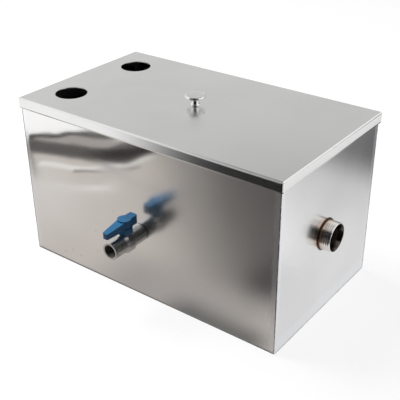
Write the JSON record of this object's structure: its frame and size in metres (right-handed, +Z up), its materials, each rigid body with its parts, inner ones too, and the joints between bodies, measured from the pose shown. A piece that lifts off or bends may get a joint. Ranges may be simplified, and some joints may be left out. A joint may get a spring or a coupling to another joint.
{
  "type": "grease trap",
  "caption": "Box-shaped stainless grease trap with a lift-off lid, round inlet holes in the lid, a threaded outlet in one end and a small ball valve that draws grease off the front.",
  "frame": {"origin": "middle of the tank's floor, on its outside face", "axes": "+X along the tank towards the outlet, +Y to the back, away from the valve, +Z up"},
  "size_m": [0.366, 0.2585, 0.2145],
  "materials": {
    "tank_sheet": "bright cold-rolled sheet, slightly wavy",
    "lid_sheet": "satin sheet",
    "inner_sheet": "plain cold-rolled sheet",
    "pipe_steel": "turned",
    "valve_steel": "cast and turned",
    "polished_steel": "polished",
    "lever_plastic": "moulded blue plastic",
    "seat_plastic": "white fluoropolymer",
    "seal_rubber": "plain"
  },
  "bodies": {
    "tank": {"tank_wrap": "tank_sheet", "left_end": "tank_sheet", "right_end": "tank_sheet", "outlet_nipple": "pipe_steel", "inlet_guide_front": "inner_sheet", "inlet_guide_back": "inner_sheet", "outlet_guide_front": "inner_sheet", "outlet_guide_back": "inner_sheet", "inlet_baffle": "inner_sheet", "outlet_baffle": "inner_sheet", "basket_rail_front": "inner_sheet", "basket_rail_back": "inner_sheet", "strainer_basket": "inner_sheet", "drain_nipple": "pipe_steel", "valve_body": "valve_steel", "inner_seat": "seat_plastic", "outer_seat": "seat_plastic", "ball_retainer": "valve_steel"},
    "lid": {"lid": "lid_sheet", "lid_seal": "seal_rubber", "lid_knob": "polished_steel", "knob_washer": "polished_steel", "knob_screw": "polished_steel"},
    "lever": {"valve_lever": "lever_plastic", "lever_cap": "lever_plastic", "lever_screw": "polished_steel", "valve_stem": "valve_steel", "stem_ring": "seal_rubber", "valve_ball": "polished_steel"},
    "basket_handle": {"basket_handle": "pipe_steel"}
  },
  "joints": [
    {"name": "lid_lift", "type": "slide", "parent": "tank", "child": "lid", "axis": [0, 0, 1], "range_m": [0, 0.15]},
    {"name": "lever_turn", "type": "hinge", "parent": "tank", "child": "lever", "pos_m": [0, -0.12555, 0.0865], "axis": [0, 0, -1], "range_deg": [0, 90]},
    {"name": "handle_swing", "type": "hinge", "parent": "tank", "child": "basket_handle", "pos_m": [-0.13195, 0, 0.142], "axis": [0, -1, 0], "range_deg": [0, 148.7]}
  ]
}
